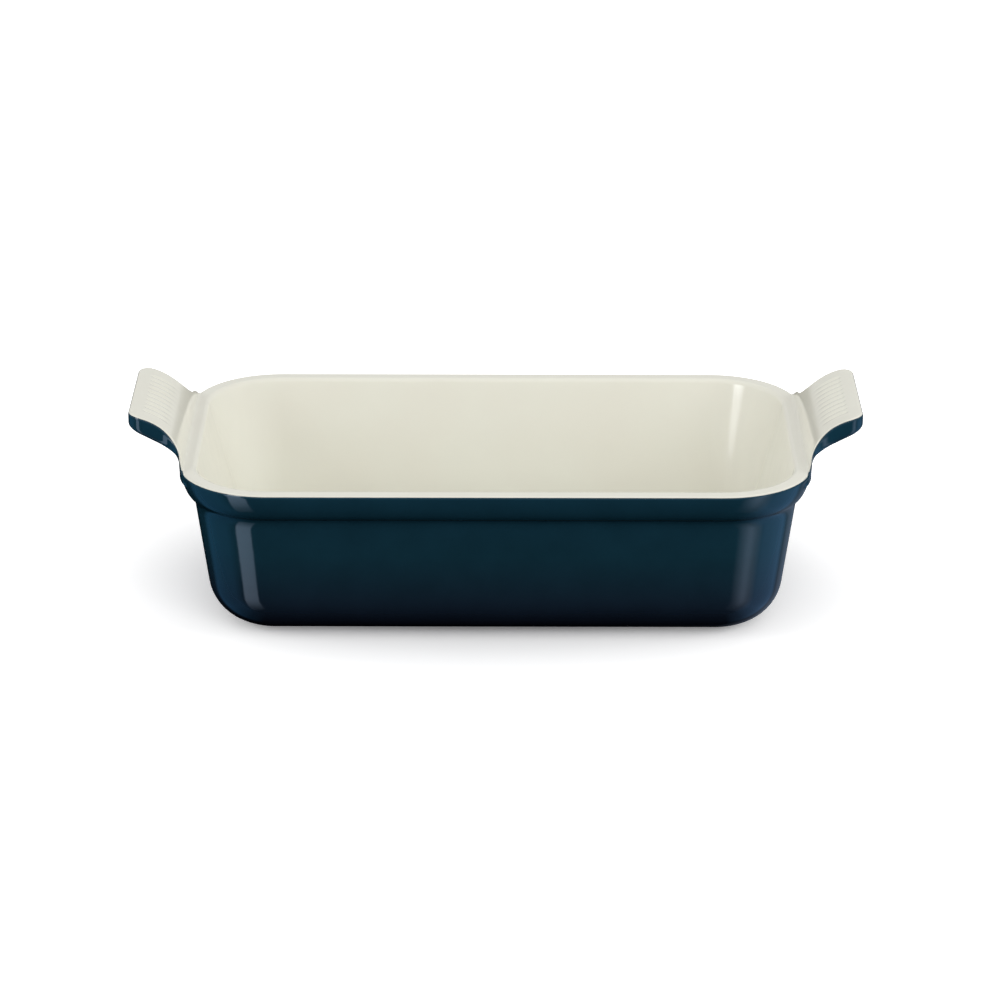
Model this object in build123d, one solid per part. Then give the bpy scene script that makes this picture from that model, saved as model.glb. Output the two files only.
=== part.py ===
from build123d import *
import math
import os

# Glazed stoneware loaf pan, in millimetres. Origin at the bottom centre of the foot, +Z up,
# +X along the length towards one handle, -Y towards the front long wall.
# A skin is how far a surface is set in from the glazed one: 0 gives the finished outside of the
# pan, and the glaze thickness gives the fired clay under its coat.

# Rim
rim_length = 266.0
rim_width = 152.1
rim_corner = 38.4
rim_height = 70.5
rim_edge_round = 1.2

# Collar round the rim, an elliptic face that curls in under the rim to the wall
collar_depth = 12.7
collar_overhang = 6.0
collar_centre_rise = 9.5  # centre of the ellipse above the rim plane
collar_section_width = 14.0

# Outer wall, heel and foot ring
wall_draft = 7.6
base_plane = 0.8  # underside of the glazed base
heel_corner = 27.7
heel_round = 20.5
foot_length = 198.0
foot_width = 84.0
foot_corner = 9.0
foot_ring_width = 5.5
foot_edge_round = 0.3

# Basin
mouth_inset = 7.2  # from the rim outline to the sharp edge that the lip rounding replaces
lip_round = 2.5
basin_draft = 15.0
floor_height = 7.0
floor_corner = 15.5
floor_fillet = 13.0

# Ear handles
handle_tip = 155.0
handle_half_width = 32.0
handle_crease = 131.0  # where the top of the ear rises out of the flat rim
handle_top_radius = 26.85
handle_root_angle = 73.3
handle_under_angle = 27.5
handle_under_rise = 13.0  # underside above the rim plane, at the tip
handle_under_round = 5.0
handle_under_reach = 132.4  # how far in the underside runs before it turns down the collar
handle_corner = 6.5
handle_flare = 9.0
handle_root_depth = 1.0  # how far the ear's root runs back inside the rim
handle_root_drop = 4.2  # how far the ear's root runs down inside the collar
handle_top_edge = 0.6
handle_under_edge = 2.0

# Grip ribs: shallow grooves along X in the top of each ear
groove_count = 10
groove_pitch = 4.8
groove_width = 2.2
groove_depth = 0.55
groove_mid_depth = 0.39  # halfway between where it starts and where it is deepest
groove_inner = 137.0
groove_deepest = 146.0
groove_outer = 149.0

# Glaze
glaze_thickness = 0.45
crease_fillet = 1.5
collar_fillet = 1.5
coat_edge = 0.7  # how far below the top edge the cream coat ends
coat_split = 3.2  # how deep in the clay, behind the basin surface, the two coats are told apart

# Room that cutters and sections leave round what they cut, and that edges are picked with
clearance = 5.0
tip_margin = 1.0
edge_margin = 1.0
level_tolerance = 0.01


def slope(degrees):
    return math.tan(math.radians(degrees))


def plan(inset, corner, height):
    """The rim outline set in by inset, as a face at a height."""
    outline = RectangleRounded(rim_length - 2 * inset, rim_width - 2 * inset, corner)
    return Plane.XY.offset(height) * outline


def tub(skin):
    """The tapered walls below the collar, as one block with a rounded heel."""
    top = rim_height - collar_depth + skin
    low = base_plane + skin
    wall_inset = collar_overhang + skin
    upper = plan(wall_inset, rim_corner - wall_inset, top)
    lower = plan(wall_inset + (top - low) * slope(wall_draft), heel_corner - skin, low)
    block = loft([lower, upper], ruled=True)
    return fillet(block.edges().group_by(Axis.Z)[0], heel_round - skin)


def collar(skin):
    """The rim collar: its section at the +X end, carried round the rim outline."""
    out = rim_length / 2 - skin
    side = rim_width / 2 - skin
    top = rim_height - skin
    low = rim_height - collar_depth + skin
    height = collar_depth + collar_centre_rise
    width = collar_overhang / math.cos(math.asin(collar_centre_rise / height))
    centre = (out - collar_overhang, low + height)
    top_angle = math.degrees(math.asin((top - centre[1]) / height))
    curl = EllipticalCenterArc(centre, width, height, -90, arc_size=90 + top_angle)
    inner = out - collar_section_width
    rest = Polyline(curl @ 1, (inner, top), (inner, low), curl @ 0)
    section = make_face([curl, rest])
    section = fillet(section.vertices().sort_by(Axis.X)[-1], rim_edge_round - skin)
    path = FilletPolyline((out, 0), (out, side), (-out, side), (-out, 0), radius=rim_corner - skin)
    half = sweep(Plane.XZ * section, path=path)
    return half + mirror(half, Plane.XZ)


def arch(skin):
    """The arched line of the +X ear's top in side view, from the rim plane out past the tip."""
    centre_x = handle_crease + handle_top_radius * math.sin(math.radians(handle_root_angle))
    centre_z = rim_height - handle_top_radius * math.cos(math.radians(handle_root_angle))
    radius = handle_top_radius - skin
    root_angle = 180 - math.degrees(math.asin((rim_height - skin - centre_z) / radius))
    tip_angle = math.degrees(math.acos((handle_tip + tip_margin - centre_x) / radius))
    return CenterArc((centre_x, centre_z), radius, root_angle, tip_angle - root_angle)


def handle_band(skin):
    """Side view of an ear: the arched top, the tip and the underside, as a face in XZ."""
    top = arch(skin)
    tip = handle_tip + tip_margin
    lift = skin / math.cos(math.radians(handle_under_angle))
    tip_low = rim_height + handle_under_rise + tip_margin * slope(handle_under_angle) + lift
    reach = handle_under_reach - skin
    under_low = tip_low - (tip - reach) * slope(handle_under_angle)
    root_low = rim_height - handle_root_drop
    under_corners = [(tip, tip_low), (reach, under_low), (reach, root_low)]
    under = FilletPolyline(*under_corners, radius=handle_under_round + skin)
    back = Polyline(under @ 1, ((top @ 0).X - handle_root_depth, root_low), top @ 0)
    return Plane.XZ * make_face([top, Line(top @ 1, under @ 0), under, back])


def handle_plan(skin):
    """Outline of one end seen from above: the rim, and the ear that flares out of it."""
    corner_x = rim_length / 2 - rim_corner
    corner_y = rim_width / 2 - rim_corner
    flare_y = handle_half_width + handle_flare
    reach = rim_corner + handle_flare
    flare_x = corner_x + math.sqrt(reach**2 - (flare_y - corner_y) ** 2)
    to_corner = math.degrees(math.atan2(corner_y - flare_y, corner_x - flare_x))
    radius = handle_flare + skin
    side = handle_half_width - skin
    tip = handle_tip - skin
    upper = CenterArc((flare_x, flare_y), radius, to_corner, -90 - to_corner)
    lower = mirror(upper, Plane.XZ)
    tab = FilletPolyline(
        (flare_x, side),
        (tip, side),
        (tip, -side),
        (flare_x, -side),
        radius=handle_corner - skin,
    )
    back = Polyline(upper @ 0, (corner_x, (upper @ 0).Y), (corner_x, -(upper @ 0).Y), lower @ 0)
    ear = make_face([upper, tab, lower, back])
    return ear + plan(skin, rim_corner - skin, 0)


def handle(skin):
    """One ear, at the +X end, with its edges rounded. The clay's top edge stays sharp under the glaze."""
    band = extrude(handle_band(skin), rim_width, both=True)
    ear = band & extrude(handle_plan(skin), 2 * rim_height)
    tip_edges = ear.faces().sort_by(Axis.X)[-1].edges().sort_by(Axis.Z)
    ear = fillet(tip_edges[0], handle_under_edge - skin)
    if skin:
        return ear
    tip_edges = ear.faces().sort_by(Axis.X)[-1].edges().sort_by(Axis.Z)
    return fillet(tip_edges[-1], handle_top_edge)


def grooves(skin):
    """Cutters for the grip grooves of the +X ear, deepest near their outer ends."""
    top = arch(skin)

    def on_top(x, depth):
        rise = math.sqrt(top.radius**2 - (x - top.arc_center.X) ** 2)
        return x, top.arc_center.Y + rise - depth

    floor = Spline(
        on_top(groove_inner, 0),
        on_top((groove_inner + groove_deepest) / 2, groove_mid_depth),
        on_top(groove_deepest, groove_depth),
        on_top(groove_outer, 0),
    )
    above = on_top(groove_outer, -clearance)[1]
    lid = Polyline(floor @ 0, (groove_inner, above), (groove_outer, above), floor @ 1)
    cutter = extrude(Plane.XZ * make_face([floor, lid]), groove_width / 2 + skin, both=True)
    first = -(groove_count - 1) / 2 * groove_pitch
    return [Pos(0, first + i * groove_pitch, 0) * cutter for i in range(groove_count)]


def basin(skin):
    """The space inside the pan, grown by skin all round, open upwards."""
    above = rim_height + clearance
    low = floor_height - skin
    inset = mouth_inset - skin
    upper_inset = inset - clearance * slope(basin_draft)
    lower_inset = inset + (rim_height - low) * slope(basin_draft)
    upper = plan(upper_inset, rim_corner - upper_inset, above)
    lower = plan(lower_inset, floor_corner + skin, low)
    block = loft([lower, upper], ruled=True)
    return fillet(block.edges().group_by(Axis.Z)[0], floor_fillet + skin)


def edges_at(body, height):
    """The edges that lie wholly in the horizontal plane at a height."""
    return body.edges().filter_by(
        lambda edge: abs(edge.bounding_box().min.Z - height) < level_tolerance
        and abs(edge.bounding_box().max.Z - height) < level_tolerance
    )


def mouth_edges(body, height):
    """The edges where the basin opens in the flat top of the rim."""
    reach = rim_width / 2 - mouth_inset + edge_margin
    return edges_at(body, height).filter_by(
        lambda edge: max(abs(edge.bounding_box().min.Y), abs(edge.bounding_box().max.Y)) < reach
        and abs((edge @ 0.5).X) < rim_length / 2 - mouth_inset + edge_margin
    )


def pan(skin):
    """The whole pan without its foot ring, set in by skin."""
    ear = handle(skin)
    body = tub(skin) + collar(skin) + ear + mirror(ear, Plane.YZ)
    body = body - basin(skin)
    body = fillet(mouth_edges(body, rim_height - skin), lip_round + skin)
    cutters = grooves(skin)
    return body - cutters - [mirror(cutter, Plane.YZ) for cutter in cutters]


def soften(body):
    """Glaze gathers in the inside corners under the collar and where the ears leave the rim."""
    creases = edges_at(body, rim_height).filter_by(Axis.Y)
    creases = creases.filter_by(lambda edge: edge.length > handle_half_width)
    creases = creases.filter_by(lambda edge: abs((edge @ 0.5).X) > handle_crease - edge_margin)
    body = fillet(creases, crease_fillet)
    return fillet(edges_at(body, rim_height - collar_depth), collar_fillet)


def foot_ring():
    """The bare clay ring under the base, let a little way into the body above it."""
    height = base_plane + 2 * glaze_thickness
    outer = RectangleRounded(foot_length, foot_width, foot_corner)
    inner_corner = foot_corner - foot_ring_width
    inner_length = foot_length - 2 * foot_ring_width
    inner = RectangleRounded(inner_length, foot_width - 2 * foot_ring_width, inner_corner)
    ring = extrude(outer - inner, height)
    return fillet(ring.edges().group_by(Axis.Z)[0], foot_edge_round)


def cream_side():
    """The space that holds the cream coat: the basin, and all above the glaze line."""
    line = arch(coat_edge)
    above = rim_height + handle_top_radius
    far = (line @ 1).X
    start = line @ 0
    end = line @ 1
    border = Polyline(end, (far, above), (0, above), (0, start.Y), start)
    half = extrude(Plane.XZ * make_face([line, border]), rim_width, both=True) + grooves(coat_edge)
    return half + mirror(half, Plane.YZ) + basin(coat_split)


def layers():
    """The clay body and the glaze coats that lie on it, by node name."""
    clay = pan(glaze_thickness) + foot_ring()
    glaze = soften(pan(0)) + foot_ring() - clay
    cream_space = cream_side()
    outer, base = (glaze - cream_space).solids().sort_by(SortBy.VOLUME, reverse=True)
    return {
        "stoneware_body": clay,
        "outer_glaze": outer,
        "inner_glaze": glaze & cream_space,
        "base_glaze": base,
    }


os.makedirs("parts", exist_ok=True)
for name, shape in layers().items():
    export_step(shape, f"parts/{name}.step")
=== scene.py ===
import math

import bpy
import numpy as np
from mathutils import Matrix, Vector


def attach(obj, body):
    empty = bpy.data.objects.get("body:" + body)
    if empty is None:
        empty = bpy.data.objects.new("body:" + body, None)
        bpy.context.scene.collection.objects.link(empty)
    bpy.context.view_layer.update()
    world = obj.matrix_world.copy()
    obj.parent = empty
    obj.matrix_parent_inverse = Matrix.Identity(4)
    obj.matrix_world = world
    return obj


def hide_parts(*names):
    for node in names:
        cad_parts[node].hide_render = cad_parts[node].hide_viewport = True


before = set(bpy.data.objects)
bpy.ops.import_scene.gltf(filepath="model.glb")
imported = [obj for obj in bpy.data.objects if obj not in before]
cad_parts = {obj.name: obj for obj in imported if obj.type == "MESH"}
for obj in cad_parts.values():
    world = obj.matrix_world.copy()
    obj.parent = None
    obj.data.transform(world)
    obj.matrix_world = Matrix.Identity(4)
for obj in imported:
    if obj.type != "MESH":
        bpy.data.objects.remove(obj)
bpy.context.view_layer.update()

# Glazed stoneware loaf pan. The two glaze coats are built as closed shells on one computed skin; the clay
# body and the glazed base are the CAD nodes with their materials.
# Sizes are in millimetres, in the frame's axes, and meshes are scaled to metres when they are made.
MM = 0.001

# Rim and collar
rim_length = 266.0
rim_width = 152.1
rim_corner = 38.4
rim_height = 70.5
rim_edge_round = 1.2
collar_depth = 12.7
collar_overhang = 6.0
collar_centre_rise = 9.5
collar_fillet = 2.8

# Outer wall, heel and the outline of the foot ring
wall_draft = 7.6
base_plane = 0.8
heel_corner = 27.7
heel_round = 20.5
foot_length = 198.0
foot_width = 84.0
foot_corner = 9.0

# Basin
mouth_inset = 7.2
lip_round = 2.5
basin_draft = 15.0
basin_corner = 31.3  # at the rim plane
floor_height = 7.0
floor_corner = 15.5
floor_fillet = 13.0

# Ear handles
handle_tip = 155.0
handle_half_width = 32.0
handle_crease = 131.0
handle_top_radius = 26.85
handle_root_angle = 73.3
handle_under_angle = 27.5
handle_under_rise = 13.0
handle_under_round = 5.0
handle_under_reach = 132.4
handle_corner = 6.5
handle_flare = 9.0
handle_root_drop = 4.2
handle_top_edge = 1.2
handle_under_edge = 2.2
crease_fillet = 1.5

# Grip grooves in the top of each ear
groove_count = 10
groove_pitch = 4.8
groove_width = 3.4
groove_depth = 0.5
groove_inner = 136.5
groove_full = 144.0
groove_outer = 149.3
groove_end = 1.5

# Glaze coats. The cream one ends, and the blue one begins, this far down the outer edge.
glaze_thickness = 0.45
coat_edge = 0.25

# Points of the outline round the ear: its corner, its straight flank and its flare into the rim
ear_corner_points = 12
ear_flank_points = 6
ear_flare_points = 16

# How far in from the outline the paths over the ear bend: round its tip, and elsewhere
tip_lane = 3.0
rim_lane = 1.7

# An edge keeps its whole radius until its faces look this much away from each other: 1 + cosine is
# under 1 / acute_share. The two faces of a wall have no edge at all.
acute_share = 1.6

# Camera, in metres and degrees: a long lens, square on to the pan's long side
camera_lens = 144.06
camera_sensor = 36.0
camera_reach = 50
camera_elevation = 21.34
camera_roll = 0.115
camera_distance = 1.729
camera_target = (0.0019, 0, 0.0395)

# Floor and light colours
light_target = (0, 0, 0.045)
dome_strength = 0.66
floor_radius = 12.0
floor_points = 96
floor_colour = (0.96, 0.96, 0.965)
floor_glow = [(0.2, 0.13), (0.36, 0.25), (0.6, 0.5), (0.9, 0.6)]
white_light = (1.0, 1.0, 1.0)

# Glaze and clay colours. The blue ones go by share of the blue ramp's height, in metres above the foot, and
# darken towards the foot as painted shade for the lower wall and heel.
cream_warm = (0.745, 0.73, 0.645)
cream_cool = (0.755, 0.75, 0.665)
cream_speck = (0.62, 0.56, 0.44)
blue_painted_shade_height = 0.09
# Painted shade: the blue is darkest at the foot and lightens up the wall, as if less light reached the lower
# wall and heel.
blue_painted_shade_stops = [
    (0.0, (0.0095, 0.0105, 0.022, 1)),
    (0.2, (0.0095, 0.0205, 0.037, 1)),
    (0.45, (0.009, 0.041, 0.064, 1)),
    (0.85, (0.0095, 0.047, 0.078, 1)),
]
clay_dark = (0.50, 0.42, 0.31)
clay_pale = (0.60, 0.52, 0.40)
clay_speck = (0.26, 0.19, 0.13)


# ---- The skin of the pan, as fields ----
# A field holds, for each point, how far outside a solid it is and the direction straight out of it.
# All fields are for one quarter of the pan: x and y are never negative.


def slope(degrees):
    return math.tan(math.radians(degrees))


def field(distance, along_x, along_y, along_z):
    return np.array(np.broadcast_arrays(distance, along_x, along_y, along_z))


def both(a, b):
    """What two solids share, with a sharp edge."""
    return np.where(a[0] > b[0], a, b)


def rounded(a, b, radius):
    """What two solids share, with the edge between them rounded, and less so where it is acute."""
    facing = np.clip((a[1:] * b[1:]).sum(0), -0.98, 0.995)
    radius = radius * np.clip(acute_share * (1 + facing), 0.01, 1)
    u = a[0] + radius
    v = b[0] + radius
    from_a = (u - facing * v) / (1 - facing**2)
    from_b = (v - facing * u) / (1 - facing**2)
    reach = np.sqrt(np.maximum(from_a * u + from_b * v, 1e-9))
    arc = np.vstack([reach - radius, (from_a * a[1:] + from_b * b[1:]) / reach])
    return np.where((from_a > 0) & (from_b > 0), arc, both(a, b))


def joined(a, b, radius):
    """Two solids together, with the inside corner between them filled."""
    return -rounded(-a, -b, radius)


def walls(point, half_x, half_y, corner, level=0.0, taper=0.0, corner_growth=0.0):
    """Walls on a rounded rectangle that has these sizes at a level and widens upwards by taper."""
    x, y, z = point
    rise = z - level
    corner = corner + corner_growth * rise
    past_x = x - (half_x + taper * rise - corner)
    past_y = y - (half_y + taper * rise - corner)
    out = np.hypot(np.maximum(past_x, 0), np.maximum(past_y, 0))
    distance = out + np.minimum(np.maximum(past_x, past_y), 0) - corner
    safe = np.maximum(out, 1e-9)
    normal_x = np.where(out > 0, np.maximum(past_x, 0) / safe, past_x > past_y)
    normal_y = np.where(out > 0, np.maximum(past_y, 0) / safe, past_x <= past_y)
    fall = (taper - corner_growth) * (normal_x + normal_y) + corner_growth
    length = np.sqrt(1 + fall**2)
    return field(distance / length, normal_x / length, normal_y / length, -fall / length)


def collar_height():
    return collar_depth + collar_centre_rise


def collar_width():
    """Half width of the collar's ellipse, which stands out by the overhang at the rim plane."""
    return collar_overhang / math.sqrt(1 - (collar_centre_rise / collar_height()) ** 2)


def collar(point):
    rim = walls(point, rim_length / 2, rim_width / 2, rim_corner)
    drop = rim_height - point[2]
    across = (rim[0] + collar_overhang) / collar_width()
    down = (drop + collar_centre_rise) / collar_height()
    size = np.maximum(np.hypot(across, down), 1e-6)
    steep_across = across / collar_width() / size
    steep_down = down / collar_height() / size
    steep = np.hypot(steep_across, steep_down)
    turn = steep_across / steep
    face = field((size - 1) / steep, turn * rim[1], turn * rim[2], -steep_down / steep)
    return np.where(rim[0] > -collar_overhang, face, field(drop - collar_depth, 0, 0, -1))


def wall_growth():
    """How fast the radius of the outer wall's corners grows with height."""
    return (rim_corner - collar_overhang - heel_corner) / (rim_height - collar_depth - base_plane)


def tub(point):
    sides = walls(
        point,
        rim_length / 2 - collar_overhang,
        rim_width / 2 - collar_overhang,
        rim_corner - collar_overhang,
        rim_height - collar_depth,
        slope(wall_draft),
        wall_growth(),
    )
    return rounded(sides, field(base_plane - point[2], 0, 0, -1), heel_round)


def basin(point):
    sides = walls(
        point,
        rim_length / 2 - mouth_inset,
        rim_width / 2 - mouth_inset,
        basin_corner,
        rim_height,
        slope(basin_draft),
        (basin_corner - floor_corner) / (rim_height - floor_height),
    )
    return rounded(sides, field(floor_height - point[2], 0, 0, -1), floor_fillet)


def arch_centre():
    angle = math.radians(handle_root_angle)
    x = handle_crease + handle_top_radius * math.sin(angle)
    return x, rim_height - handle_top_radius * math.cos(angle)


def smooth_step(low, high, value):
    share = np.clip((value - low) / (high - low), 0, 1)
    return share * share * (3 - 2 * share)


def grooving(x, y):
    """Depth of the grip grooves: shallow valleys that fade inwards and end round near the tip."""
    number = np.minimum(np.floor(y / groove_pitch), groove_count // 2 - 1)
    aside = np.abs(y - (number + 0.5) * groove_pitch) / (groove_width / 2)
    valley = np.where(aside < 1, 0.5 + 0.5 * np.cos(np.pi * np.minimum(aside, 1)), 0)
    end = groove_outer - 0.8 * np.minimum(aside, 1) ** 2
    along = smooth_step(groove_inner, groove_full, x) * (1 - smooth_step(end - groove_end, end, x))
    return groove_depth * valley * along


def ear(point):
    x, y, z = point
    centre_x, centre_z = arch_centre()
    out = np.hypot(x - centre_x, z - centre_z)
    height = out - handle_top_radius + grooving(x, y)
    arch = field(height, (x - centre_x) / out, 0, (z - centre_z) / out)
    rim = walls(point, rim_length / 2, rim_width / 2, rim_corner)
    tab = walls(point, handle_tip, handle_half_width, handle_corner)
    outline = joined(rim, tab, handle_flare)
    angle = math.radians(handle_under_angle)
    underside = rim_height + handle_under_rise - (handle_tip - x) * slope(handle_under_angle) - z
    under = field(underside * math.cos(angle), math.sin(angle), 0, -math.cos(angle))
    under = joined(under, field(x - handle_under_reach, 1, 0, 0), handle_under_round)
    block = rounded(rounded(arch, outline, handle_top_edge), under, handle_under_edge)
    return both(block, field(rim_height - handle_root_drop - z, 0, 0, -1))


def skin(point):
    """The finished surface of the whole pan, without its foot ring."""
    top = field(point[2] - rim_height, 0, 0, 1)
    vessel = rounded(joined(tub(point), collar(point), collar_fillet), top, rim_edge_round)
    return rounded(joined(vessel, ear(point), crease_fillet), -basin(point), lip_round)


def onto_skin(rows, depth=0.0, steps=12):
    """Moves rows of points straight onto the skin, or onto the surface at a depth under it."""
    point = rows.reshape(-1, 3).T
    for _ in range(steps):
        here = skin(point)
        point = point - (here[0] + depth) * here[1:]
        point[:2] = np.maximum(point[:2], 0)
    return point.T.reshape(rows.shape)


# ---- Stations: where the rows of points stand, along one quarter of the pan's outline ----


def rim_corner_centre():
    return rim_length / 2 - rim_corner, rim_width / 2 - rim_corner


def flare_centre():
    corner_x, corner_y = rim_corner_centre()
    y = handle_half_width + handle_flare
    return corner_x + math.sqrt((rim_corner + handle_flare) ** 2 - (y - corner_y) ** 2), y


def arc_points(centre, radius, start, end, count):
    """count points on an arc, in degrees, without the one at its start."""
    angle = np.radians(np.linspace(start, end, count + 1)[1:])
    return np.stack([centre[0] + radius * np.cos(angle), centre[1] + radius * np.sin(angle)], 1)


def line_points(start, end, count):
    share = np.linspace(0, 1, count + 1)[1:, None]
    return np.array(start) * (1 - share) + np.array(end) * share


def stations():
    """The outline seen from above and, for each of its points, where on the vessel it belongs.

    The vessel's place is a share of the straight part of each side and the direction outwards,
    which together give the same place on a rounded rectangle of any size."""
    corner_x, corner_y = rim_corner_centre()
    flare_x, flare_y = flare_centre()
    meet = math.degrees(math.atan2(flare_y - corner_y, flare_x - corner_x))
    rise_end = math.degrees(math.acos((handle_crease - corner_x) / rim_corner))
    tip_y = handle_half_width - handle_corner
    grip = groove_pitch * groove_count / 2
    tip = np.concatenate([
        [(handle_tip, 0.0)],
        line_points((handle_tip, 0.0), (handle_tip, grip), 60),
        line_points((handle_tip, grip), (handle_tip, tip_y), 3),
    ])
    fan = np.concatenate([
        arc_points((handle_tip - handle_corner, tip_y), handle_corner, 0, 90, ear_corner_points),
        line_points(
            (handle_tip - handle_corner, handle_half_width),
            (flare_x, handle_half_width),
            ear_flank_points,
        ),
        arc_points((flare_x, flare_y), handle_flare, -90, -180 + meet, ear_flare_points),
    ])
    bend = np.concatenate([
        np.linspace(meet, rise_end, 13)[1:],
        np.linspace(rise_end, 90, 31)[1:],
    ])
    side = np.linspace(corner_x, 0, 27)[1:]
    outline = np.concatenate([
        tip,
        fan,
        arc_points((corner_x, corner_y), rim_corner, meet, rise_end, 12),
        arc_points((corner_x, corner_y), rim_corner, rise_end, 90, 30),
        line_points((corner_x, rim_width / 2), (0, rim_width / 2), 26),
    ])
    # In the fan, the places along the rim are spaced as the outline's points are
    steps = np.linalg.norm(np.diff(np.concatenate([tip[-1:], fan]), axis=0), axis=1)
    arc = rim_corner * math.radians(meet)
    along = tip_y + np.cumsum(steps) / steps.sum() * (corner_y + arc - tip_y)
    fan_turn = np.degrees(np.maximum(along - corner_y, 0) / rim_corner)
    turn = np.radians(np.concatenate([0 * tip[:, 0], fan_turn, bend, 90 + 0 * side]))
    share_y = np.concatenate([
        tip[:, 1],
        np.minimum(along, corner_y),
        0 * bend + corner_y,
        0 * side + corner_y,
    ])
    share_x = np.concatenate([
        0 * tip[:, 0] + corner_x,
        0 * fan[:, 0] + corner_x,
        0 * bend + corner_x,
        side,
    ])
    place = np.stack([share_x / corner_x, share_y / corner_y, np.cos(turn), np.sin(turn)])
    return outline, place, inward_ways(outline, len(tip))


def inward_ways(outline, tip_count):
    """From each point of the outline, the way in to where its path over the ear bends."""
    along = np.gradient(outline, axis=0)
    along[0] = (0, 1)
    along[-1] = (-1, 0)
    inward = np.column_stack([-along[:, 1], along[:, 0]]) / np.linalg.norm(along, axis=1)[:, None]
    wide = tip_count + ear_corner_points
    lane = np.concatenate([
        np.full(wide, tip_lane),
        np.linspace(tip_lane, rim_lane, ear_flank_points),
        np.full(len(outline) - wide - ear_flank_points, rim_lane),
    ])
    return np.column_stack([inward * lane[:, None], 0 * lane])


def ring(place, half_x, half_y, corner, z):
    """The vessel's places on a rounded rectangle at a height."""
    x = (half_x - corner) * place[0] + corner * place[2]
    y = (half_y - corner) * place[1] + corner * place[3]
    return np.stack([x, y, 0 * x + z], 1)


def rim_ring(place, inset, z):
    return ring(place, rim_length / 2 - inset, rim_width / 2 - inset, rim_corner - inset, z)


def spaced(path, distance):
    """Points at these distances along each station's path. path is stations x samples x 3."""
    steps = np.linalg.norm(np.diff(path, axis=1), axis=2)
    length = np.concatenate([np.zeros((len(path), 1)), np.cumsum(steps, axis=1)], axis=1)
    rows = np.empty((distance.shape[1], len(path), 3))
    for i in range(len(path)):
        for axis in range(3):
            rows[:, i, axis] = np.interp(distance[i], length[i], path[i, :, axis])
    return rows, length[:, -1]


def path_rows(path, before, share, after):
    """Rows along each station's path: some at set distances from its start, some from its end, and
    the others by share of what lies between."""
    total = np.linalg.norm(np.diff(path, axis=1), axis=2).sum(1)[:, None]
    fit = np.minimum(1, 0.45 * total / max(before[-1], after[0]))
    first = fit * np.array(before)[None, :]
    last = total - fit * np.array(after)[None, :]
    middle = first[:, -1:] + (last[:, :1] - first[:, -1:]) * np.array(share)[None, :]
    return spaced(path, np.concatenate([first, middle, last], axis=1))[0]


def straight(start, end, samples=200):
    """Straight paths from start to end, stations x samples x 3."""
    share = np.linspace(0, 1, samples)[None, :, None]
    return start[:, None, :] * (1 - share) + end[:, None, :] * share


def squared(start, end, inward, samples=600):
    """Paths that bend to meet the outline at end squarely, by way of a point this far inward of it."""
    share = np.linspace(0, 1, samples)[None, :, None]
    reach = np.linalg.norm((end - start)[:, :2], axis=1) / np.linalg.norm(inward, axis=1)
    middle = (end + inward * np.minimum(1, 0.5 * reach)[:, None])[:, None, :]
    leaving = start[:, None, :] * (1 - share) ** 2
    bending = middle * 2 * share * (1 - share)
    arriving = end[:, None, :] * share**2
    return leaving + bending + arriving


def arch_rise(x):
    """Height of the pan's top surface at x: the flat rim, or the arched ear past the crease."""
    centre_x, centre_z = arch_centre()
    height = centre_z + np.sqrt(np.maximum(handle_top_radius**2 - (x - centre_x) ** 2, 0))
    return np.where(x > handle_crease, np.maximum(height, rim_height), rim_height)


def even(count):
    """Shares between 0 and 1, both left out."""
    return np.linspace(0, 1, count + 2)[1:-1]


def basin_rows(place):
    """Rows from the middle of the floor to the lip."""
    draft = math.radians(basin_draft)
    floor_inset = mouth_inset + (rim_height - floor_height) * slope(basin_draft)
    floor_x = rim_length / 2 - floor_inset
    floor_y = rim_width / 2 - floor_inset
    flat = floor_fillet / math.tan(math.pi / 4 + draft / 2)
    edge = ring(place, floor_x - flat, floor_y - flat, floor_corner - flat, floor_height)
    length = np.cumsum(np.linalg.norm(np.diff(edge, axis=0, prepend=edge[:1]), axis=1))
    angle = math.pi / 2 * length / length[-1]
    middle = np.stack([0.5 * floor_x * np.cos(angle), 0.4 * floor_y * np.sin(angle), edge[:, 2]], 1)
    rows = [middle + (edge - middle) * share for share in np.linspace(0, 1, 9)]
    for turn in np.linspace(0, math.pi / 2 - draft, 13)[1:]:
        inset = flat - floor_fillet * math.sin(turn)
        z = floor_height + floor_fillet * (1 - math.cos(turn))
        rows.append(ring(place, floor_x - inset, floor_y - inset, floor_corner - inset, z))
    low = floor_height + floor_fillet * (1 - math.sin(draft))
    high = rim_height - lip_round * (1 - math.sin(draft))
    for z in np.linspace(low, high, 14)[1:]:
        inset = mouth_inset + (rim_height - z) * slope(basin_draft)
        corner = basin_corner - (rim_height - z) * (basin_corner - floor_corner) / (rim_height - floor_height)
        rows.append(ring(place, rim_length / 2 - inset, rim_width / 2 - inset, corner, z))
    lip_inset = mouth_inset - lip_round / math.tan(math.pi / 4 + draft / 2)
    for turn in np.linspace(draft, math.pi / 2, 10)[1:]:
        z = rim_height - lip_round * (1 - math.sin(turn))
        rows.append(rim_ring(place, lip_inset + lip_round * math.cos(turn), z))
    return rows, lip_inset


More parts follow.
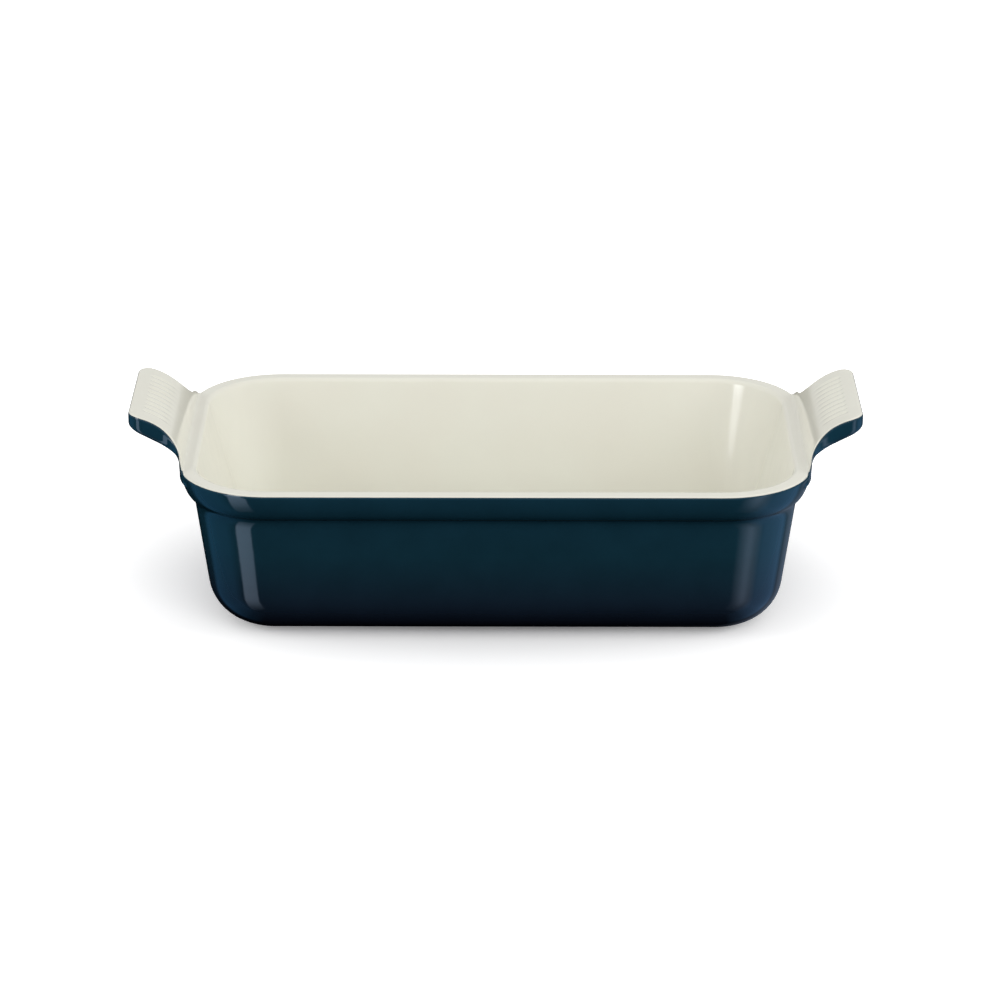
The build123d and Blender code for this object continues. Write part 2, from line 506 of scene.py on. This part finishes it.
def top_rows(place, outline, inward, lip_inset):
    """Rows over the flat rim and the arched ear, to the outer edge."""
    crease_inset = rim_length / 2 - handle_crease
    start = rim_ring(place, (lip_inset + crease_inset) / 2, rim_height)
    end = np.column_stack([outline, np.full(len(outline), rim_height)])
    path = squared(start, end, inward)
    path[:, :, 2] = arch_rise(path[:, :, 0])
    grip = np.concatenate([
        np.linspace(0, 0.34, 9)[1:],
        np.linspace(0.34, 0.7, 13)[1:],
        np.linspace(0.7, 0.86, 13)[1:],
        np.linspace(0.86, 1, 5)[1:-1],
    ])
    # The first rows close on the crease, which is this far along a path straight out over the ear
    gap = (lip_inset - crease_inset) / 2
    near = [0, gap - 0.4, gap, gap + 0.4, gap + 0.8, gap + 1.3]
    return path_rows(path, near, grip, [1.6, 1.2, 0.85, 0.55, 0.25, 0.0])


def low_edge(place, outline):
    """Height of the lower edge of the ear's side, and the like line on the collar elsewhere."""
    on_ear = rim_height + handle_under_rise - (handle_tip - outline[:, 0]) * slope(handle_under_angle)
    flare_x, flare_y = flare_centre()
    meet = math.atan2(flare_y - rim_corner_centre()[1], flare_x - rim_corner_centre()[0])
    rise_end = math.acos((handle_crease - rim_corner_centre()[0]) / rim_corner)
    turn = np.arctan2(place[3], place[2])
    away = smooth_step(meet - 0.03, rise_end + 0.05, turn)
    return on_ear * (1 - away) + (rim_height - handle_root_drop) * away, away


def side_rows(place, outline, inward):
    """Rows down the outer edge and the ear's side, under the ear and down the collar's face."""
    top = arch_rise(outline[:, 0])
    low, away = low_edge(place, outline)
    edge = straight(np.column_stack([outline, top]), np.column_stack([outline, low]))
    upper = [coat_edge, 0.45, 0.7, 0.95, 1.3, 1.8]
    lower = [2.4, 1.8, 1.2, 0.7, 0.3]
    rows = list(path_rows(edge, upper, even(4), lower))
    root_inset = (rim_length / 2 - handle_under_reach) * (1 - away)
    root = rim_ring(place, root_inset, rim_height)
    under = squared(root, np.column_stack([outline, low]), inward)[:, ::-1]
    rise = rim_height + handle_under_rise - (handle_tip - under[:, :, 0]) * slope(handle_under_angle)
    under[:, :, 2] = rise * (1 - away[:, None]) + low[:, None] * away[:, None]
    foot = under[:, -1].copy()
    foot[:, 2] = (rim_height - handle_root_drop - 1) * (1 - away) + (low - 4.5) * away
    path = np.concatenate([under, straight(under[:, -1], foot, 40)[:, 1:]], axis=1)
    outer = [0.0, 0.5, 1.1, 1.8, 2.6]
    crease = [9, 7.8, 6.6, 5.4, 4.2, 3.0, 1.8, 0.8, 0.0]
    rows += list(path_rows(path, outer, even(12), crease))
    return rows, foot[:, 2]


def wall_rows(place, collar_top):
    """Rows down the rest of the collar, the wall and the heel, to the foot ring."""
    samples = 120
    share = np.linspace(0, 1, samples)[None, :]
    drop = (rim_height - collar_top)[:, None]
    start = np.arcsin((drop + collar_centre_rise) / collar_height())
    angle = start + (math.pi / 2 - start) * share
    drop = collar_height() * np.sin(angle) - collar_centre_rise
    inset = collar_overhang - collar_width() * np.cos(angle)
    face = np.stack([rim_ring(place, inset[:, i], rim_height - drop[:, i]) for i in range(samples)], 1)
    rows = list(path_rows(face, [0.8], even(7), [1.8, 1.2, 0.7, 0.3, 0.0]))
    top = rim_height - collar_depth
    low = base_plane + heel_round * (1 - math.sin(math.radians(wall_draft)))
    near = top - np.array([0.3, 0.7, 1.2, 1.8])
    for z in np.concatenate([near, np.linspace(near[-1], low, 15)[1:]]):
        inset = collar_overhang + (top - z) * slope(wall_draft)
        corner = rim_corner - collar_overhang - (top - z) * wall_growth()
        rows.append(ring(place, rim_length / 2 - inset, rim_width / 2 - inset, corner, z))
    draft = math.radians(wall_draft)
    base_inset = collar_overhang + (top - base_plane) * slope(wall_draft)
    flat = heel_round / math.tan(math.pi / 4 + draft / 2)
    base_x = rim_length / 2 - base_inset
    base_y = rim_width / 2 - base_inset
    for turn in np.linspace(math.pi / 2 - draft, 0, 14)[1:]:
        inset = flat - heel_round * math.sin(turn)
        z = base_plane + heel_round * (1 - math.cos(turn))
        rows.append(ring(place, base_x - inset, base_y - inset, heel_corner - inset, z))
    foot = ring(place, foot_length / 2, foot_width / 2, foot_corner, base_plane)
    rows += [rows[-1] * (1 - part) + foot * part for part in (0.5, 1)]
    return rows


# ---- Coats: closed shells on the skin ----


def whole(quarter):
    """A row's points all round the pan, from a quarter of it."""
    inner = quarter[1:-1][::-1]
    across = quarter * (-1, 1, 1)
    return np.concatenate([
        quarter,
        inner * (-1, 1, 1),
        across[:1],
        across[1:] * (1, -1, 1),
        inner * (1, -1, 1),
    ])


def bridge(first, count, flip):
    """Faces across the innermost loop, from each point to the one opposite it across the X axis."""
    faces = []
    for i in range(count // 2):
        face = [first + i, first + (i + 1), first + (count - i - 1) % count, first + (count - i) % count]
        face = list(dict.fromkeys(face))
        faces.append(face if flip else face[::-1])
    return faces


def shell_faces(loops, count, centre_closed):
    """Faces between neighbouring loops. The last loop meets the first one, or both close their centre."""
    here = np.arange(count)
    after = (here + 1) % count
    faces = []
    for i in range(loops - 1 if centre_closed else loops):
        low = i * count
        high = (i + 1) % loops * count
        faces.append(np.stack([low + here, high + here, high + after, low + after], 1))
    faces = np.concatenate(faces).tolist()
    if centre_closed:
        faces += bridge(0, count, True)
        faces += bridge((loops - 1) * count, count, False)
    return faces


def coat(name, rows, every, centre_closed):
    """A closed shell: its face on the skin, its back one glaze thickness in, with fewer rows."""
    rows = np.array(rows)
    back_rows = sorted(set(range(0, len(rows), every)) | {len(rows) - 1})
    face = onto_skin(rows)
    back = onto_skin(face[back_rows], glaze_thickness)
    loops = [whole(row) for row in face] + [whole(row) for row in back[::-1]]
    points = np.concatenate(loops)
    mesh = bpy.data.meshes.new(name)
    mesh.from_pydata((points * MM).tolist(), [], shell_faces(len(loops), len(loops[0]), centre_closed))
    mesh.validate()
    mesh.shade_smooth()
    piece = bpy.data.objects.new(name, mesh)
    bpy.context.scene.collection.objects.link(piece)
    return piece


def build_coats():
    outline, place, inward = stations()
    inside, lip_inset = basin_rows(place)
    over = list(top_rows(place, outline, inward, lip_inset))
    side, collar_top = side_rows(place, outline, inward)
    down = wall_rows(place, collar_top)
    cream = coat("cream_glaze_coat", inside + over + side[:1], 4, True)
    blue = coat("blue_glaze_coat", side + down, 4, False)
    return cream, blue


cream_coat, blue_coat = build_coats()
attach(cream_coat, "root")
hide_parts("inner_glaze")
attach(blue_coat, "root")
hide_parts("outer_glaze")


# ---- Camera, stage and lights ----


def aim(thing, target):
    thing.rotation_euler = (Vector(target) - thing.location).to_track_quat("-Z", "Y").to_euler()


def add_camera():
    data = bpy.data.cameras.new("camera")
    data.lens = camera_lens
    data.sensor_width = camera_sensor
    data.clip_end = camera_reach
    camera = bpy.data.objects.new("camera", data)
    elevation = math.radians(camera_elevation)
    target = Vector(camera_target)
    camera.location = target + camera_distance * Vector((0, -math.cos(elevation), math.sin(elevation)))
    aim(camera, target)
    camera.rotation_euler.rotate_axis("Z", math.radians(camera_roll))
    bpy.context.scene.collection.objects.link(camera)
    bpy.context.scene.camera = camera


def add_light(name, direction, distance, size, power, colour, fading=None):
    """An area light that faces the pan. direction is azimuth from the front, positive to the right,
    and elevation. A light with fading, the share of its width that fades at each side, only shows
    in the gloss; the others only shed light."""
    data = bpy.data.lights.new(name, "AREA")
    data.shape = "RECTANGLE"
    data.size, data.size_y = size
    data.energy = power
    data.color = colour
    light = bpy.data.objects.new(name, data)
    azimuth, elevation = (math.radians(angle) for angle in direction)
    flat = math.cos(elevation)
    centre = Vector(light_target)
    way = Vector((flat * math.sin(azimuth), -flat * math.cos(azimuth), math.sin(elevation)))
    light.location = centre + distance * way
    aim(light, centre)
    light.visible_camera = False
    light.visible_diffuse = fading is None
    light.visible_glossy = fading is not None
    if fading is not None:
        fade(data, fading)
    bpy.context.scene.collection.objects.link(light)


def fade(data, sides):
    """Softens a light towards its sides and its foot."""
    data.use_nodes = True
    nodes = data.node_tree.nodes
    links = data.node_tree.links
    place = nodes.new("ShaderNodeNewGeometry")
    split = nodes.new("ShaderNodeSeparateXYZ")
    links.new(place.outputs["Parametric"], split.inputs[0])
    across = nodes.new("ShaderNodeValToRGB")
    up = nodes.new("ShaderNodeValToRGB")
    links.new(split.outputs["X"], across.inputs[0])
    links.new(split.outputs["Y"], up.inputs[0])
    set_ramp(across, [(0.0, grey(0)), (sides, grey(1)), (1 - sides, grey(1)), (1.0, grey(0))])
    set_ramp(up, [(0.0, grey(0)), (0.2, grey(0.25)), (0.45, grey(1)), (1.0, grey(1))])
    product = nodes.new("ShaderNodeMath")
    product.operation = "MULTIPLY"
    links.new(across.outputs[0], product.inputs[0])
    links.new(up.outputs[0], product.inputs[1])
    links.new(product.outputs[0], nodes["Emission"].inputs["Strength"])


def set_ramp(ramp, stops):
    elements = ramp.color_ramp.elements
    while len(elements) < len(stops):
        elements.new(0.5)
    for element, (position, colour) in zip(elements, stops):
        element.position = position
        element.color = colour


def grey(level):
    return (level, level, level, 1)


def floor_paint():
    """White that glows more the further it is from the pan, so that it burns out there."""
    paint = bpy.data.materials.new("floor_white")
    paint.use_nodes = True
    nodes = paint.node_tree.nodes
    links = paint.node_tree.links
    shader = nodes["Principled BSDF"]
    shader.inputs["Base Color"].default_value = (*floor_colour, 1)
    shader.inputs["Roughness"].default_value = 0.9
    shader.inputs["Specular IOR Level"].default_value = 0.0
    shader.inputs["Emission Color"].default_value = (1, 1, 1, 1)
    place = nodes.new("ShaderNodeTexCoord")
    squeeze = nodes.new("ShaderNodeMapping")
    squeeze.inputs["Scale"].default_value = (2.8, 4.0, 1.0)
    distance = nodes.new("ShaderNodeVectorMath")
    distance.operation = "LENGTH"
    glow = nodes.new("ShaderNodeValToRGB")
    set_ramp(glow, [(position, grey(level)) for position, level in floor_glow])
    links.new(place.outputs["Object"], squeeze.inputs["Vector"])
    links.new(squeeze.outputs["Vector"], distance.inputs[0])
    links.new(distance.outputs["Value"], glow.inputs[0])
    links.new(glow.outputs[0], shader.inputs["Emission Strength"])
    return paint


def add_floor():
    """A white floor, a hair below the foot ring, that the gloss doesn't show."""
    data = bpy.data.meshes.new("floor")
    angles = [2 * math.pi * i / floor_points for i in range(floor_points)]
    points = [(floor_radius * math.cos(angle), floor_radius * math.sin(angle), 0) for angle in angles]
    data.from_pydata(points, [], [list(range(floor_points))])
    data.materials.append(floor_paint())
    floor = bpy.data.objects.new("floor", data)
    bpy.context.scene.collection.objects.link(floor)
    floor.location.z = -0.0001
    floor.visible_glossy = False
    floor.visible_diffuse = False


def add_world():
    """A pale dome above the floor, and darkness below it for the glaze to reflect."""
    world = bpy.data.worlds.new("studio")
    bpy.context.scene.world = world
    world.use_nodes = True
    nodes = world.node_tree.nodes
    links = world.node_tree.links
    back = nodes["Background"]
    place = nodes.new("ShaderNodeTexCoord")
    split = nodes.new("ShaderNodeSeparateXYZ")
    ramp = nodes.new("ShaderNodeValToRGB")
    links.new(place.outputs["Generated"], split.inputs[0])
    links.new(split.outputs["Z"], ramp.inputs[0])
    links.new(ramp.outputs[0], back.inputs["Color"])
    set_ramp(ramp, [(0.0, grey(0)), (0.06, grey(1))])
    back.inputs["Strength"].default_value = dome_strength


bpy.context.scene.view_settings.view_transform = "Standard"
add_world()
add_camera()
add_floor()
add_light("front_softbox", (18, 32), 1.8, (1.3, 1.0), 10.5, white_light)
add_light("left_softbox", (-80, 22), 1.8, (1.0, 0.8), 9, white_light)
add_light("right_softbox", (80, 22), 1.8, (1.0, 0.8), 9.5, white_light)
add_light("left_strip", (-48, -27), 0.9, (0.34, 1.0), 2.3, (0.59, 0.76, 1.0), 0.1)
add_light("left_window", (-46, 17), 0.9, (0.3, 0.5), 3.2, (0.95, 0.97, 1.0), 0.1)
add_light("right_strip", (53, -27), 0.9, (0.56, 1.0), 2.6, (0.59, 0.74, 1.0), 0.45)
add_light("left_side", (-95, -42), 0.9, (0.9, 1.1), 1.0, (0.12, 0.5, 1.0), 0.2)
add_light("right_side", (95, -42), 0.9, (0.9, 1.1), 2.2, (0.27, 0.55, 1.0), 0.2)
add_light("back_right", (140, -35), 0.9, (0.7, 0.9), 0.6, (0.56, 0.72, 1.0), 0.3)


# ---- Materials ----


def texture(nodes, links, kind, place, scale, detail=2.0):
    """A texture node of this many features a metre, in the object's own coordinates."""
    pattern = nodes.new(kind)
    pattern.inputs["Scale"].default_value = scale
    if "Detail" in pattern.inputs:
        pattern.inputs["Detail"].default_value = detail
    links.new(place.outputs["Object"], pattern.inputs["Vector"])
    return pattern


def add_bump(nodes, links, pattern, height, before=None):
    """Raises the surface by a pattern, on top of the bump before it. height is in metres."""
    bump = nodes.new("ShaderNodeBump")
    bump.inputs["Distance"].default_value = height
    links.new(pattern.outputs[0], bump.inputs["Height"])
    if before is not None:
        links.new(before.outputs["Normal"], bump.inputs["Normal"])
    return bump


def vary(nodes, links, pattern, stops):
    """A colour or a level that follows a pattern."""
    ramp = nodes.new("ShaderNodeValToRGB")
    set_ramp(ramp, stops)
    links.new(pattern, ramp.inputs[0])
    return ramp.outputs[0]


def add_glaze(name, colour_of, roughness, peel):
    """Fired glaze: its tone drifts, its gloss is a little uneven and its surface has orange peel."""
    paint = bpy.data.materials.new(name)
    paint.use_nodes = True
    nodes = paint.node_tree.nodes
    links = paint.node_tree.links
    shader = nodes["Principled BSDF"]
    place = nodes.new("ShaderNodeTexCoord")
    links.new(colour_of(nodes, links, place), shader.inputs["Base Color"])
    clouds = texture(nodes, links, "ShaderNodeTexNoise", place, 45, 3)
    low, high = roughness
    stops = [(0.3, grey(low)), (0.7, grey(high))]
    links.new(vary(nodes, links, clouds.outputs[0], stops), shader.inputs["Roughness"])
    ripple = add_bump(nodes, links, texture(nodes, links, "ShaderNodeTexNoise", place, 110, 1), peel)
    fine = texture(nodes, links, "ShaderNodeTexNoise", place, 520, 1)
    peeled = add_bump(nodes, links, fine, peel * 0.16, ripple)
    links.new(peeled.outputs["Normal"], shader.inputs["Normal"])
    shader.inputs["IOR"].default_value = 1.5
    return paint


def specks(nodes, links, place, density, size, under, colour):
    """Small specks of one colour scattered over another colour."""
    dots = texture(nodes, links, "ShaderNodeTexVoronoi", place, density)
    amount = vary(nodes, links, dots.outputs["Distance"], [(size * 0.5, grey(1)), (size, grey(0))])
    mix = nodes.new("ShaderNodeMix")
    mix.data_type = "RGBA"
    links.new(amount, mix.inputs["Factor"])
    links.new(under, mix.inputs["A"])
    mix.inputs["B"].default_value = colour
    return mix.outputs["Result"]


def cream_colour(nodes, links, place):
    clouds = texture(nodes, links, "ShaderNodeTexNoise", place, 28, 4)
    tones = [(0.3, (*cream_warm, 1)), (0.7, (*cream_cool, 1))]
    tone = vary(nodes, links, clouds.outputs[0], tones)
    return specks(nodes, links, place, 260, 0.1, tone, (*cream_speck, 1))


def blue_colour(nodes, links, place):
    """Deep blue that is darker towards the foot: painted shade for the lower wall and heel, which get less
    light as they curve under.
    """
    split = nodes.new("ShaderNodeSeparateXYZ")
    links.new(place.outputs["Object"], split.inputs[0])
    height = nodes.new("ShaderNodeMapRange")
    height.inputs["From Max"].default_value = blue_painted_shade_height
    links.new(split.outputs["Z"], height.inputs["Value"])
    # This height ramp is painted shade, not glaze depth: the blue is darkest at the foot.
    depth = vary(nodes, links, height.outputs[0], blue_painted_shade_stops)
    clouds = texture(nodes, links, "ShaderNodeTexNoise", place, 60, 5)
    shade = vary(nodes, links, clouds.outputs[0], [(0.3, grey(0.86)), (0.7, grey(1.0))])
    mix = nodes.new("ShaderNodeMix")
    mix.data_type = "RGBA"
    mix.blend_type = "MULTIPLY"
    mix.inputs["Factor"].default_value = 1.0
    links.new(depth, mix.inputs["A"])
    links.new(shade, mix.inputs["B"])
    return mix.outputs["Result"]


def add_clay():
    """Unglazed stoneware: grains of sand in a dry, matt body."""
    paint = bpy.data.materials.new("bare_stoneware")
    paint.use_nodes = True
    nodes = paint.node_tree.nodes
    links = paint.node_tree.links
    shader = nodes["Principled BSDF"]
    place = nodes.new("ShaderNodeTexCoord")
    clouds = texture(nodes, links, "ShaderNodeTexNoise", place, 90, 6)
    tones = [(0.3, (*clay_dark, 1)), (0.7, (*clay_pale, 1))]
    tone = vary(nodes, links, clouds.outputs[0], tones)
    colour = specks(nodes, links, place, 700, 0.22, tone, (*clay_speck, 1))
    links.new(colour, shader.inputs["Base Color"])
    grain = texture(nodes, links, "ShaderNodeTexNoise", place, 2600, 6)
    rough = vary(nodes, links, grain.outputs[0], [(0.3, grey(0.78)), (0.7, grey(0.95))])
    links.new(rough, shader.inputs["Roughness"])
    sandy = add_bump(nodes, links, grain, 0.00025)
    links.new(sandy.outputs["Normal"], shader.inputs["Normal"])
    return paint


cream_paint = add_glaze("cream_glaze", cream_colour, (0.1, 0.16), 0.00006)
blue_paint = add_glaze("blue_glaze", blue_colour, (0.05, 0.09), 0.00004)
clay_paint = add_clay()
cream_coat.data.materials.append(cream_paint)
blue_coat.data.materials.append(blue_paint)


def repaint(node, paint):
    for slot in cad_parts[node].material_slots:
        slot.material = paint


repaint("stoneware_body", clay_paint)
repaint("base_glaze", blue_paint)
